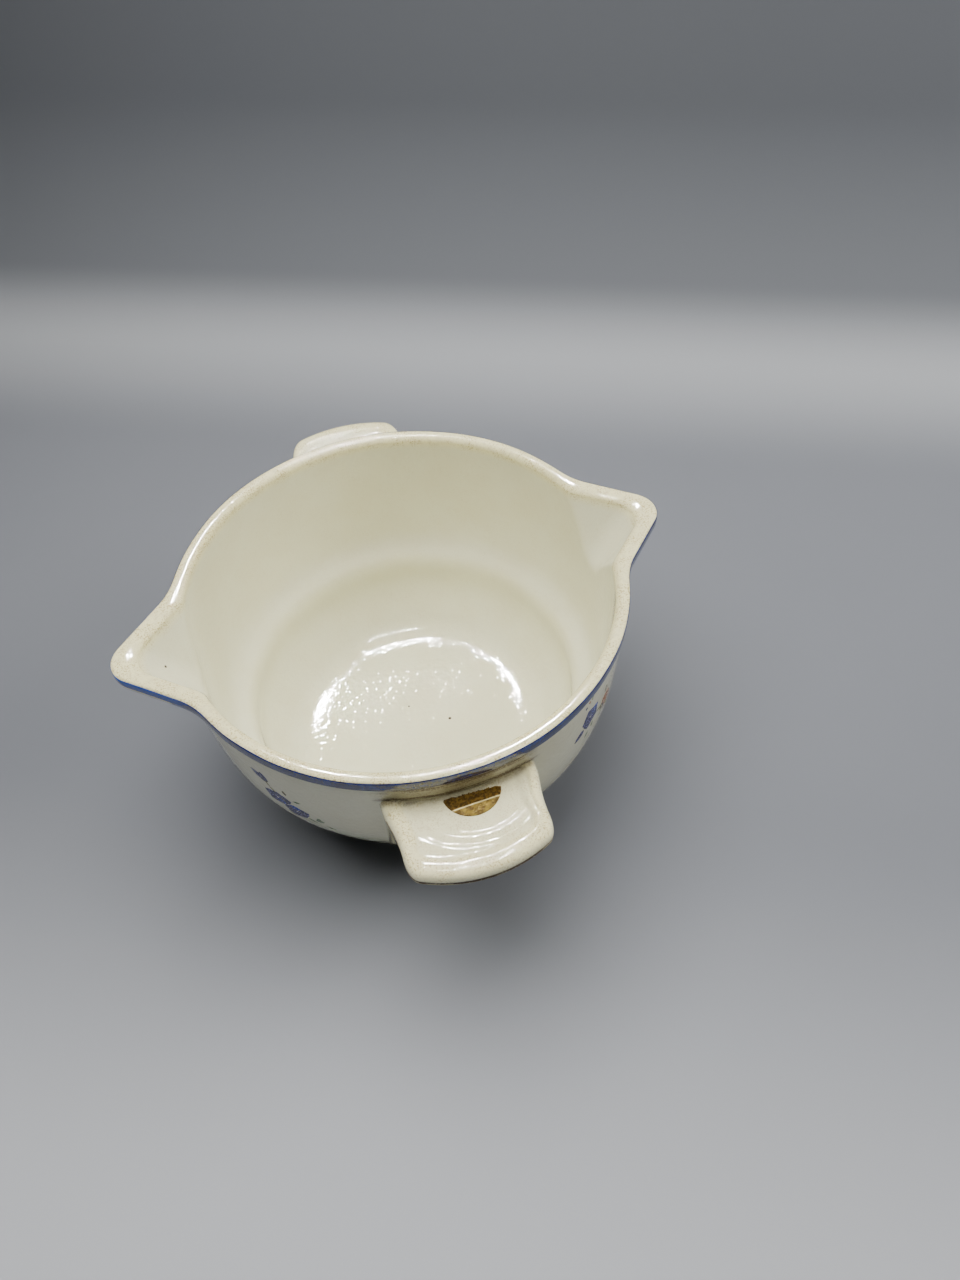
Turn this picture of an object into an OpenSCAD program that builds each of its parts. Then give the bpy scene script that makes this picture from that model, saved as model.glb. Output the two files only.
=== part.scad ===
// Deep round pouring dish in glazed earthenware.
// Two V-shaped pouring lips face each other along X, two lug handles along Y.
// The origin is on the table under the middle of the bowl, +Z up, millimetres.

/* [Bowl] */
// Outer diameter of the rim
rim_d = 145; // [135:1:155]
// Height of the rim above the table
bowl_h = 88; // [84:1:92]
// Width of the rolled rim, outside to inside
rim_w = 4.2; // [3.8:0.1:5]

/* [Foot] */
// Outer radius of the foot ring where it stands on the table
foot_r = 47; // [45:0.5:48]
// Width of the foot ring
foot_w = 4.6; // [4:0.2:6]
// Depth of the hollow under the base
foot_h = 4.5; // [4.2:0.1:5]

/* [Pouring lips] */
// Distance from the bowl axis to the tip of a lip
lip_reach = 90.2; // [87:0.2:93]
// Angle in plan between a lip's side and the line through both lips
lip_angle = 42; // [38:1:45]
// Slope of the keel under a lip, from the horizontal
lip_slope = 53; // [48:1:58]
// Thickness of a lip's side
lip_wall = 4.2; // [3.6:0.1:5]
// Rounding of the keel
lip_round = 7; // [5:0.5:8]

/* [Handles] */
// Distance from the bowl axis to the edge of the front handle
front_reach = 97.4; // [94:0.2:100]
// Distance from the bowl axis to the edge of the back handle
back_reach = 95.6; // [94:0.2:100]
// Direction of the front handle
front_turn = -93.6; // [-96:0.2:-88]
// Direction of the back handle
back_turn = 87.9; // [85:0.1:94]
// Height of the raised border of a handle
handle_z = 76.6; // [74:0.2:78]
// Thickness of a handle's slab
handle_t = 6; // [5:0.5:8]
// Width of the raised border
border_w = 4.4; // [3:0.2:6]
// Depth of each step in the thumb rest
step_t = 0.5; // [0.3:0.1:0.8]

/* [Enamel and foil] */
// Lower edge of the painted line, below the rim
line_low = 4.5; // [4:0.1:4.5]
// Upper edge of the painted line, below the rim
line_high = 1.6; // [1.6:0.1:2.5]
// Thickness of the fired enamel
enamel_t = 0.15; // [0.1:0.05:0.3]
// Radius of the foil seal that was torn to a half moon
foil_r = 8.7; // [6:0.1:9]
// Thickness of the foil
foil_t = 0.2; // [0.1:0.05:0.3]

/* [Hidden] */
$fn = 96;
glaze = "#f0ecde";
biscuit = "#dccfb6";
cobalt = "#2c4f97";
petal_blue = "#3a4788";
gold = "#b08a35";
big = 200;
rim_r = rim_d / 2;

// The bowl's section was drawn at this size, and is scaled to the size above.
drawn_r = 72.5;
drawn_h = 88;
// Outside of the wall from the foot to the bead, as radius and height
outer_knots = [[48.5, 4.5], [52.8, 11], [58.5, 22], [63.7, 33.5], [68, 44.5], [70.2, 55],
               [71.3, 68], [71.8, 82.4]];
// Inside from the crisp edge of the floor, over the soft step, to the rim
inner_knots = [[44.5, 8.2], [49, 12.5], [52.5, 18], [55.6, 25.5], [57.3, 31], [59.8, 36.5],
               [63.5, 45], [66, 56], [67.2, 68], [67.9, 80], [68.3, 86.2]];
floor_z = 8;
bead_low = 83.4;
rim_roll = 1.6;
knot_steps = 3;

function fit(p) = [p[0] * rim_r / drawn_r, p[1] * bowl_h / drawn_h];
// A smooth curve through a list of knots
function knot(k, i) = k[max(0, min(len(k) - 1, i))];
function through(a, b, c, d, t) =
    0.5 * (2 * b + (c - a) * t + (2 * a - 5 * b + 4 * c - d) * t * t
           + (3 * b - a - 3 * c + d) * t * t * t);
function curve(k, steps) = concat(
    [for (i = [0:len(k) - 2], j = [0:steps - 1])
        through(knot(k, i - 1), k[i], k[i + 1], knot(k, i + 2), j / steps)],
    [k[len(k) - 1]]);
function backwards(k) = [for (i = [len(k) - 1:-1:0]) k[i]];
function bezier(a, b, c, d, steps) = [for (j = [0:steps])
    let (t = j / steps, s = 1 - t)
        s * s * s * a + 3 * s * s * t * b + 3 * s * t * t * c + t * t * t * d];

outer_wall = [for (p = curve(outer_knots, knot_steps)) fit(p)];
inner_wall = [for (p = curve(inner_knots, knot_steps)) fit(p)];
base_z = outer_wall[0][1];
rim_mid = rim_r - rim_w / 2;
rim_arc = [for (a = [0:15:180])
    [rim_mid + rim_w / 2 * cos(a), bowl_h - rim_roll + rim_roll * sin(a)]];
bead_z = bead_low * bowl_h / drawn_h;

// Lip geometry in the plane square to the keel
lip_half = atan(tan(lip_angle) / sin(lip_slope));
lip_open = 32;
lip_run = 70;
trough_round = 6;
cut_half = 20;
cut_z = 58;

// Handle outline, in the handle's own plan: X away from the bowl
grip_root = 22.6;
grip_waist = 20.4;
grip_corner = 5;
grip_in = 60;
grip_shoulder = 72;
rest_x = 73;
rest_r = [16, 12.4];
seam_drop = 3.4;
seam_inset = 0.5;
rib_half = 20.5;
rib_foot = 58;
foil_at = [71, 2.8];
foil_cut = 72.6;
brush_gap = 0.05;

// ---- bowl -----------------------------------------------------------------
module section() {
    polygon(concat([[0, base_z]], outer_wall, [[rim_r, bead_z]], rim_arc,
                   backwards(inner_wall), [[0, floor_z * bowl_h / drawn_h]]));
}

// Everything inside the outer face, carried straight up past the rim
module envelope(grow = 0) {
    rotate_extrude()
        polygon(concat([[0, base_z]], [for (p = outer_wall) [p[0] + grow, p[1]]],
                       [[rim_r + grow, bead_z], [rim_r + grow, bowl_h + 2], [0, bowl_h + 2]]));
}

module bowl_body() {
    color(glaze) difference() {
        rotate_extrude() section();
        for (side = [0, 180]) rotate([0, 0, side]) lip_cut();
    }
}

module foot_ring() {
    color(biscuit) rotate_extrude()
        polygon([[foot_r - foot_w, 0.6], [foot_r - foot_w + 0.6, 0], [foot_r - 0.8, 0],
                 [foot_r, 0.8], [foot_r + 1, base_z], [foot_r - foot_w - 0.6, base_z]]);
}

// ---- pouring lips ---------------------------------------------------------
// A V with a rounded point at the origin, opening towards -X
module vee(rounding, grow = 0) {
    r = rounding + grow;
    c = -rounding;
    tip = [c + r * sin(lip_half), r * cos(lip_half)];
    far_y = tip[1] + (tip[0] + lip_open) * tan(lip_half);
    translate([c, 0]) circle(r = r);
    polygon([tip, [-lip_open, far_y], [-lip_open, -far_y], [tip[0], -tip[1]]]);
}

// The V carried along the keel, whose point passes through radius r at the rim
module keel(r, rounding, grow = 0) {
    translate([r, 0, bowl_h]) rotate([0, 90 - lip_slope, 0])
        translate([0, 0, -lip_run]) linear_extrude(2 * lip_run) vee(rounding, grow);
}

module below_rim() {
    translate([-big / 2, -big / 2, 0]) cube([big, big, bowl_h]);
}

// The sides sit lip_wall apart, measured square to the plan outline
trough_shift = lip_wall / sin(lip_angle)
    + (trough_round - lip_round) * (1 / sin(lip_half) - 1) / sin(lip_slope);
module trough() keel(lip_reach - trough_shift, trough_round);

module lip_body() {
    intersection() {
        keel(lip_reach, lip_round);
        below_rim();
    }
}

// The gap cut down into the wall, which a lip and its stretch of wall fill
module lip_cut() {
    side_y = big * tan(cut_half);
    translate([0, 0, cut_z]) linear_extrude(big) polygon([[0, 0], [big, side_y], [big, -side_y]]);
}

module spout() {
    intersection() {
        lip_cut();
        difference() {
            union() {
                rotate_extrude() section();
                difference() {
                    lip_body();
                    envelope(-rim_w / 2);
                }
            }
            trough();
        }
    }
}

module spout_left() {
    color(glaze) rotate([0, 0, 180]) spout();
}

module spout_right() {
    color(glaze) spout();
}

// ---- handles --------------------------------------------------------------
function grip_side(inset) =
    curve([[grip_in, grip_root], [grip_shoulder, grip_root], [78, 21.4], [85, 20.6]]
          - [for (i = [0:3]) [0, inset]], 4);
function grip_half(reach, inset) =
    let (c = max(1, grip_corner - inset),
         hub = [sqrt(pow(reach - inset - c, 2) - pow(grip_waist - inset - c, 2)),
                grip_waist - inset - c],
         turn = atan2(hub[1], hub[0]))
    concat(grip_side(inset),
           [for (i = [0:6]) hub + c * [cos(90 + (turn - 90) * i / 6),
                                       sin(90 + (turn - 90) * i / 6)]],
           [for (i = [1:5]) (reach - inset) * [cos(turn - turn * i / 6), sin(turn - turn * i / 6)]],
           [[reach - inset, 0]]);
module grip_plan(reach, inset = 0) {
    half = grip_half(reach, inset);
    polygon(concat(half, [for (p = backwards(half)) [p[0], -p[1]]]));
}

// The support under the slab: its lower edge sweeps in to the wall
module rib() {
    under = handle_z - handle_t;
    rotate([90, 0, 0]) translate([0, 0, -rib_half]) linear_extrude(2 * rib_half)
        polygon(concat([[grip_in, under]],
                       bezier([90, under], [80, under], [78, 65], [69, rib_foot], 10),
                       [[grip_in, rib_foot]]));
}

module handle(reach) {
    difference() {
        union() {
            translate([0, 0, handle_z - seam_drop]) linear_extrude(seam_drop) grip_plan(reach);
            translate([0, 0, handle_z - handle_t]) linear_extrude(handle_t - seam_drop)
                grip_plan(reach, seam_inset);
            rib();
        }
        translate([0, 0, handle_z - step_t]) linear_extrude(big) grip_plan(reach, border_w);
        for (i = [0, 1])
            translate([rest_x, 0, handle_z - (i + 2) * step_t]) cylinder(r = rest_r[i], h = big);
        envelope();
    }
}

module handle_front() {
    color(glaze) rotate([0, 0, front_turn]) handle(front_reach);
}

module handle_back() {
    color(glaze) rotate([0, 0, back_turn]) handle(back_reach);
}

// ---- enamel ---------------------------------------------------------------
module line_band(grow) {
    translate([0, 0, bowl_h - line_low])
        cylinder(r = rim_r + grow, h = line_low - line_high);
}

// A hoop round the bead, and a painted V round each lip that stops a hair short of it
module rim_line() {
    color(cobalt) {
        difference() {
            line_band(enamel_t);
            line_band(0);
            for (side = [0, 180]) rotate([0, 0, side]) keel(lip_reach, lip_round, enamel_t);
        }
        for (side = [0, 180]) rotate([0, 0, side]) difference() {
            intersection() {
                keel(lip_reach, lip_round, enamel_t);
                translate([rim_r / 2, -big / 2, bowl_h - line_low])
                    cube([big, big, line_low - line_high]);
            }
            lip_body();
            translate([0, 0, bowl_h - line_low - 1])
                cylinder(r = rim_r + enamel_t + brush_gap, h = line_low + 2);
        }
    }
}

// Flat shapes of the flower sprays, X along the wall and Y up
petals = 5;
module flower(at, size) {
    translate(at) {
        for (i = [0:petals - 1]) rotate(i * 360 / petals + 18)
            translate([size * 0.58, 0]) circle(r = size * 0.4);
        circle(r = size * 0.34);
    }
}

module leaf(at, length, turn) {
    translate(at) rotate(turn) intersection() {
        translate([0, length * 0.4]) circle(r = length * 0.65);
        translate([0, -length * 0.4]) circle(r = length * 0.65);
    }
}

module spray_plan() {
    flower([-5.5, 2], 5);
    flower([1.5, -4.5], 4.6);
    flower([9.5, 3.5], 5.2);
    leaf([-11, 12], 7, 118);
    leaf([2.5, 6.5], 5, 70);
    leaf([8.5, -7.5], 6, -20);
}

// Printed on the wall: the flat shape carried along the radius to a thin skin
module spray(turn, z) {
    color(petal_blue) difference() {
        intersection() {
            envelope(enamel_t);
            rotate([0, 0, turn]) translate([0, 0, z]) rotate([90, 0, 90])
                linear_extrude(big) spray_plan();
        }
        envelope();
    }
}

spray_z = 60;
module spray_front_left() spray(-136, spray_z);
module spray_front_right() spray(-51, spray_z + 3);
module spray_back_left() spray(135, spray_z);
module spray_back_right() spray(45, spray_z);

// ---- foil -----------------------------------------------------------------
module foil_label() {
    color(gold) rotate([0, 0, front_turn]) translate([0, 0, handle_z - 3 * step_t])
        linear_extrude(foil_t) intersection() {
            translate(foil_at) circle(r = foil_r);
            translate([foil_cut, -big / 2]) square(big);
        }
}

bowl_body();
foot_ring();
spout_left();
spout_right();
handle_front();
handle_back();
rim_line();
spray_front_left();
spray_front_right();
spray_back_left();
spray_back_right();
foil_label();
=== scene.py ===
"""Looks of the two-lipped pouring dish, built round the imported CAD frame.

The shape functions work in millimetres in the frame's axes: origin on the table
under the bowl's middle, +Z up, the lips along X and the handles near Y. Angles
("turns") are radians about Z, from +X. Pieces become metres when they are made.
"""

import math

import bmesh
import bpy
import numpy as np
from mathutils import Matrix, Vector


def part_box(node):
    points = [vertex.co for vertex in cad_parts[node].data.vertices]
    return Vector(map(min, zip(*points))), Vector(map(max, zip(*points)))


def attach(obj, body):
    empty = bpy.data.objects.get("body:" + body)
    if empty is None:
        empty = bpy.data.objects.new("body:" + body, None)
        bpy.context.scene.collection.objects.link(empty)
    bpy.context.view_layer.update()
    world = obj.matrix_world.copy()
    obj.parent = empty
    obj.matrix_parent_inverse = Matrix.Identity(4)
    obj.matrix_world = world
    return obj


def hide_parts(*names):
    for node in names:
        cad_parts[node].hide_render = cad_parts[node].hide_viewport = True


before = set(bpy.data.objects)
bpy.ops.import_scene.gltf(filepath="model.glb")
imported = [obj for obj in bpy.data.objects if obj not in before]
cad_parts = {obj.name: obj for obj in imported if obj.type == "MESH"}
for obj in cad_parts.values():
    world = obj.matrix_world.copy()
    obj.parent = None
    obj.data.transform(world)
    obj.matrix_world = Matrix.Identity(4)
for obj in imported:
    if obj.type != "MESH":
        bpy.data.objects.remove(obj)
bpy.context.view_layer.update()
MM = 0.001


def box_mm(node):
    """Lowest and highest corner of a CAD node, in millimetres."""
    low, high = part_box(node)
    return np.array(low) / MM, np.array(high) / MM


# ---- sizes, from the frame ---------------------------------------------------
RIM_R = box_mm("bowl_body")[1][1]
RIM_Z = box_mm("bowl_body")[1][2]
BASE_Z = box_mm("foot_ring")[1][2]
FOOT_R = box_mm("foot_ring")[1][0] - 1
LIP_REACH = box_mm("spout_right")[1][0]
LIP_CUT_Z = box_mm("spout_right")[0][2]
LINE_LOW = box_mm("rim_line")[0][2]
LINE_HIGH = box_mm("rim_line")[1][2]
HANDLE_Z = box_mm("handle_front")[1][2]
FRONT_REACH = -box_mm("handle_front")[0][1]
BACK_REACH = box_mm("handle_back")[1][1]

# ---- small sizes and angles of the shape -------------------------------------
BEAD = 0.7            # how far the rim's bead stands proud of the wall
BEAD_Z = RIM_Z - 5    # where the bead starts
BEAD_LEAD = 1.4       # the rows of points lie closer from this far below it
ROLL_OUT, ROLL_IN = 0.9, 2.3      # heights of the rim's rounding, outside and inside
CREST = 1.5           # from the rim's outer edge to its highest line
LINE_RISE = 1.1       # the brushed line ends this far above the CAD's plain band
LINE_FALL = -0.2      # and its lower edge lies this far above the band's
LIP_TURN = math.radians(0.5)
LIP_ANGLE = math.radians(42)
LIP_SLOPE, TROUGH_SLOPE = math.radians(50), math.radians(53)
COLLAR_Z = RIM_Z - 5  # a lip is upright above this, and slopes back to the wall below
RIGHT_LIP_SHORT = 0.7  # the right lip is this much shorter than the left one
LIP_HALF = math.radians(50)       # a lip's V is drawn within this angle of its tip
LIP_ROUND = 8.6
TROUGH_REACH = 83.9
TROUGH_ROUND = 8.2
OUTER_FILLET = 3.2
INNER_FILLET = 1.5
CUT_HALF = math.radians(20)       # half the width of the bowl's cut for a lip
FLOOR_EDGE, FLOOR_END = 45, 46    # radius of the inside floor's edge, and of its last wave
# Rows of points under the base, up the wall, up a lip's collar, on the bead and on the rim
UNDER_ROWS, WALL_ROWS, COLLAR_ROWS, BEAD_ROWS, ROLL_ROWS = 26, 54, 32, 16, 21
FRONT_TURN = math.radians(-93.6)
BACK_TURN = math.radians(87.9)

# Knots of the wall's outside, height and radius, from the foot to the bead
OUTER_KNOTS = [(4.5, 48.5), (11, 52.8), (22, 58.5), (33.5, 63.7), (44.5, 68), (55, 70.2),
               (68, 71.3), (82.4, 71.8), (90, 71.9)]
# Knots of the inside, radius and height, from the rim over the soft step to the floor
INNER_KNOTS = [(68.3, 88), (68.1, 80), (67.5, 68), (66.8, 58), (65.8, 50), (64.8, 45),
               (63.4, 41.6), (61, 39.1), (58.6, 37.4), (56.9, 33.6), (56.5, 28), (55.9, 24.5),
               (54.6, 21), (52.4, 17.4), (49.4, 13.5), (46.8, 11), (45.1, 9.95), (43.5, 9.3),
               (41, 8.65), (38, 8.15), (34.5, 7.72), (30, 7.3), (22, 6.7), (12, 6.22), (0, 6)]


def spline_through(knots, at, values):
    """A natural cubic spline through values at knots, read at the places in at."""
    x, y = np.asarray(knots, float), np.asarray(values, float)
    gap = np.diff(x)
    slope = np.diff(y) / gap
    system = np.eye(len(x))
    right = np.zeros(len(x))
    for i in range(1, len(x) - 1):
        system[i, i - 1:i + 2] = gap[i - 1], 2 * (gap[i - 1] + gap[i]), gap[i]
        right[i] = 6 * (slope[i] - slope[i - 1])
    bend = np.linalg.solve(system, right)
    k = np.clip(np.searchsorted(x, at) - 1, 0, len(gap) - 1)
    a, b, h = x[k + 1] - at, at - x[k], gap[k]
    return ((bend[k] * a ** 3 + bend[k + 1] * b ** 3) / (6 * h)
            + (y[k] / h - bend[k] * h / 6) * a + (y[k + 1] / h - bend[k + 1] * h / 6) * b)


def turned(points, turn):
    """Points turned about Z."""
    cos, sin = math.cos(turn), math.sin(turn)
    x, y, z = np.asarray(points).T
    return np.stack([x * cos - y * sin, x * sin + y * cos, z], axis=1)


def smooth_step(x, low, high):
    """0 below low and 1 above high, eased between them."""
    t = np.clip((x - low) / (high - low), 0, 1)
    return t * t * (3 - 2 * t)


def smooth_max(a, b, blend):
    """The larger of a and b, with the corner between them rounded off."""
    near = np.maximum(blend - np.abs(a - b), 0) / blend
    return np.maximum(a, b) + near * near * blend / 4


def ripple(turn, along, seed, waves, size):
    """Smooth unevenness that closes on itself round the axis."""
    draw = np.random.default_rng(seed)
    total = np.zeros(np.broadcast(turn, along).shape)
    for count, pitch in waves:
        phase_a, phase_b = draw.uniform(0, 2 * math.pi, 2)
        total = total + np.sin(count * turn + phase_a + along / pitch) * np.cos(
            along / (pitch * 1.7) + phase_b)
    return total * size / len(waves)


# ---- the dish's surface ------------------------------------------------------
def from_lip(turn):
    """Angle to the nearer lip, from -90 to 90 degrees."""
    return (turn - LIP_TURN + math.pi / 2) % math.pi - math.pi / 2


def vee_radius(turn, tip, rounding):
    """Where a ray leaves a rounded V that points along the lip, or 0 past LIP_HALF."""
    side = np.abs(from_lip(turn))
    hub = tip - rounding
    apex = hub + rounding / math.sin(LIP_ANGLE)
    straight = apex * math.sin(LIP_ANGLE) / np.sin(LIP_ANGLE + side)
    left = np.maximum(rounding ** 2 - (hub * np.sin(side)) ** 2, 0)
    curved = hub * np.cos(side) + np.sqrt(left)
    tangent = np.arctan2(rounding * math.cos(LIP_ANGLE), hub + rounding * math.sin(LIP_ANGLE))
    radius = np.where(side < tangent, curved, straight)
    return np.where(side < LIP_HALF, radius, 0)


def unevenness(turn, z):
    """How far the thrown wall strays from true."""
    return ripple(turn, z, 11, [(2, 60), (3, 45), (5, 38), (9, 25)], 0.28)


def outer_radius(turn, z):
    """Outside of the wall and lips, with the bead that runs under the rim."""
    knots_z, knots_r = zip(*OUTER_KNOTS)
    wall = spline_through(knots_z, z, knots_r)
    short = RIGHT_LIP_SHORT * (np.cos(turn) > 0)
    tip = LIP_REACH - BEAD - short - smooth_max(COLLAR_Z - z, 0, 2) / math.tan(LIP_SLOPE)
    lip = vee_radius(turn, tip, LIP_ROUND)
    bead = BEAD * smooth_step(z, BEAD_Z - 0.7, BEAD_Z + 0.6)
    return smooth_max(wall, lip, OUTER_FILLET) + bead + unevenness(turn, z)


def inner_radius(turn, z, wall):
    """Inside of the wall, whose plain radius is wall, with the trough of each lip."""
    short = RIGHT_LIP_SHORT * (np.cos(turn) > 0)
    tip = TROUGH_REACH - short - (RIM_Z - z) / math.tan(TROUGH_SLOPE)
    trough = vee_radius(turn, tip, TROUGH_ROUND)
    return smooth_max(wall, trough, INNER_FILLET) + unevenness(turn, z)


def outer_point(turn, z, lift=0.0):
    """A point on the outside, lifted off it along its normal."""
    step = 0.01
    here = polar(outer_radius(turn, z), turn, z)
    if np.all(np.asarray(lift) == 0):
        return here
    along = polar(outer_radius(turn + step / RIM_R, z), turn + step / RIM_R, z) - here
    up = polar(outer_radius(turn, z + step), turn, z + step) - here
    normal = np.cross(along, up)
    normal /= np.linalg.norm(normal, axis=-1, keepdims=True)
    return here + normal * np.asarray(lift)[..., None]


def polar(radius, turn, z):
    """Points from their radius, angle and height."""
    radius, turn, z = np.broadcast_arrays(radius, turn, z)
    return np.stack([radius * np.cos(turn), radius * np.sin(turn), z.astype(float)], axis=-1)


# ---- mesh helpers ------------------------------------------------------------
def make_piece(name, points, faces, material, normals=None, flat_from=None):
    """A mesh object in metres. normals are per point, and faces from flat_from on are cuts."""
    mesh = bpy.data.meshes.new(name)
    mesh.from_pydata(np.asarray(points, float) * MM, [], [list(map(int, f)) for f in faces])
    shell = bmesh.new()
    shell.from_mesh(mesh)
    bmesh.ops.recalc_face_normals(shell, faces=shell.faces)
    shell.to_mesh(mesh)
    shell.free()
    smooth = np.ones(len(faces), bool)
    if flat_from is not None:
        smooth[flat_from:] = False
    mesh.polygons.foreach_set("use_smooth", smooth)
    if normals is not None:
        corner = np.empty(len(mesh.loops), int)
        mesh.loops.foreach_get("vertex_index", corner)
        chosen = np.asarray(normals)[corner]
        for polygon in mesh.polygons[flat_from:] if flat_from is not None else ():
            chosen[list(polygon.loop_indices)] = polygon.normal
        mesh.normals_split_custom_set(chosen)
    piece = bpy.data.objects.new(name, mesh)
    bpy.context.collection.objects.link(piece)
    for each in material if isinstance(material, (list, tuple)) else [material]:
        mesh.materials.append(each)
    return piece


def finish_piece(piece, nodes):
    """Hands a piece to the frame: the CAD nodes that it replaces."""
    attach(piece, "root")
    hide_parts(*nodes)
    return piece


def quads(rows, columns, start=0, close_columns=False, close_rows=False):
    """Faces of a grid of points numbered row by row."""
    faces = []
    for j in range(rows if close_rows else rows - 1):
        below, above = j % rows, (j + 1) % rows
        for i in range(columns if close_columns else columns - 1):
            left, right = i, (i + 1) % columns
            faces.append((start + below * columns + left, start + below * columns + right,
                          start + above * columns + right, start + above * columns + left))
    return faces


def grid_normals(grid):
    """Unit normals of a grid [row, column] whose last column meets its first."""
    wide = np.concatenate([grid[:, -1:], grid, grid[:, :1]], axis=1)
    across = wide[:, 2:] - wide[:, :-2]
    along = np.gradient(grid, axis=0)
    normal = np.cross(across, along)
    size = np.linalg.norm(normal, axis=-1, keepdims=True)
    return normal / np.maximum(size, 1e-9)


def used_only(points, normals, faces):
    """Drops the points that no face uses."""
    used = np.unique(np.concatenate([np.asarray(f) for f in faces]))
    place = np.full(len(points), -1)
    place[used] = np.arange(len(used))
    return points[used], normals[used], [[place[i] for i in f] for f in faces]


# ---- the bowl and its lips, cut from one surface -------------------------------
def lip_dense_turns():
    """Column angles: close together at the lips, wider between them."""
    near, fine, coarse = 24, 0.5, 2.0
    half = np.concatenate([np.arange(0, near, fine), np.arange(near, 180 - near, coarse),
                           np.arange(180 - near, 180, fine)])
    return np.radians(np.concatenate([half, half + 180]))


def inner_profile():
    """Plain radius and height of the inside, from the rim's rounding to the floor's middle."""
    knots = np.array(INNER_KNOTS, float)
    along = np.concatenate([[0], np.cumsum(np.hypot(*np.diff(knots, axis=0).T))])
    s = np.linspace(0, along[-1], 6000)
    radius = spline_through(along, s, knots[:, 0])
    height = spline_through(along, s, knots[:, 1])
    rows, at = [], s[np.argmax(height < RIM_Z - ROLL_IN)]
    cut_at = s[np.argmax(height < LIP_CUT_Z)]
    close, usual, wide = 0.4, 0.85, 1.2
    while at < along[-1] - 1:
        rows.append(at)
        r, z = np.interp(at, s, radius), np.interp(at, s, height)
        pace = close if abs(r - FLOOR_EDGE) < 4 and z < 20 else usual
        if z < 9 and r < 40:
            pace = wide
        at = cut_at if at < cut_at <= at + pace * 1.4 else at + pace
    return np.interp(rows, s, radius), np.interp(rows, s, height)


def floor_unevenness(turn, radius):
    """Low waves in the glaze of the floor, which fade out at its edge."""
    x, y = radius * np.cos(turn), radius * np.sin(turn)
    waves = (np.sin(x / 6.1 + 0.8) * np.cos(y / 7.3 + 0.2) + 0.7 * np.sin(x / 3.4 - y / 4.1 + 2)
             + 0.6 * np.sin(y / 3.1 + x / 8.3 + 0.5))
    inside = 1 - smooth_step(radius, 40, FLOOR_END)
    return 0.012 * waves * inside


def dish_grid():
    """The whole surface as points [row, column], and the rows where the lips are cut out."""
    turns = lip_dense_turns()
    under_r = np.linspace(1.5, FOOT_R + 1, UNDER_ROWS)
    under = [polar(r, turns, np.array(BASE_Z)) for r in under_r[:-1]]
    lead_z = BEAD_Z - BEAD_LEAD
    heights = np.concatenate([np.linspace(BASE_Z, LIP_CUT_Z, WALL_ROWS)[:-1],
                              np.linspace(LIP_CUT_Z, lead_z, COLLAR_ROWS)[:-1],
                              np.linspace(lead_z, RIM_Z - ROLL_OUT, BEAD_ROWS)])
    outside = [polar(outer_radius(turns, z), turns, z) for z in heights]
    wall_r, wall_z = inner_profile()

    z_out, z_in = RIM_Z - ROLL_OUT, RIM_Z - ROLL_IN
    outer, inner = outer_radius(turns, z_out), inner_radius(turns, z_in, wall_r[0])
    crest = outer - CREST
    sway = ripple(turns, 0, 5, [(2, 1), (3, 1), (7, 1)], 0.2)
    roll, squareness = [], 0.9
    for angle in np.linspace(0, math.pi, ROLL_ROWS)[1:-1]:
        edge, foot, rise = inner, z_in, ROLL_IN
        if angle < math.pi / 2:
            edge, foot, rise = outer, z_out, ROLL_OUT
        radius = crest + (edge - crest) * abs(math.cos(angle)) ** squareness
        roll.append(polar(radius, turns, foot + (rise + sway) * math.sin(angle) ** squareness))

    inside = []
    for r, z in zip(wall_r, wall_z):
        radius = r + unevenness(turns, z) * smooth_step(r, 40, 50)
        if r > 50:
            radius = inner_radius(turns, z, r)
        inside.append(polar(radius, turns, z + floor_unevenness(turns, min(r, FLOOR_END))))
    grid = np.array(under + outside + roll + inside)
    cut_out = len(under) + WALL_ROWS - 1
    cut_in = len(under) + len(outside) + len(roll) + int(np.argmin(np.abs(wall_z - LIP_CUT_Z)))
    return turns, grid, cut_out, cut_in


def lip_columns(turns, side):
    """Column numbers across one lip, from its right edge to its left as seen from outside."""
    offset = (turns - side + math.pi) % (2 * math.pi) - math.pi
    inside = np.where(np.abs(offset) < CUT_HALF + 1e-6)[0]
    return inside[np.argsort(offset[inside])]


def lip_piece(name, node, grid, normals, columns, cut_out, cut_in, material):
    """One pouring lip: its columns of the surface, closed along the cut."""
    part = grid[cut_out:cut_in + 1][:, columns]
    rows, width = part.shape[:2]
    faces = quads(rows, width)
    visible = len(faces)
    faces += quads(rows, width, close_rows=True)[visible:]
    faces.append([j * width for j in range(rows)])
    faces.append([j * width + width - 1 for j in reversed(range(rows))])
    piece = make_piece(name, part.reshape(-1, 3), faces, material,
                       normals[cut_out:cut_in + 1][:, columns].reshape(-1, 3), visible)
    return finish_piece(piece, [node])


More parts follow.
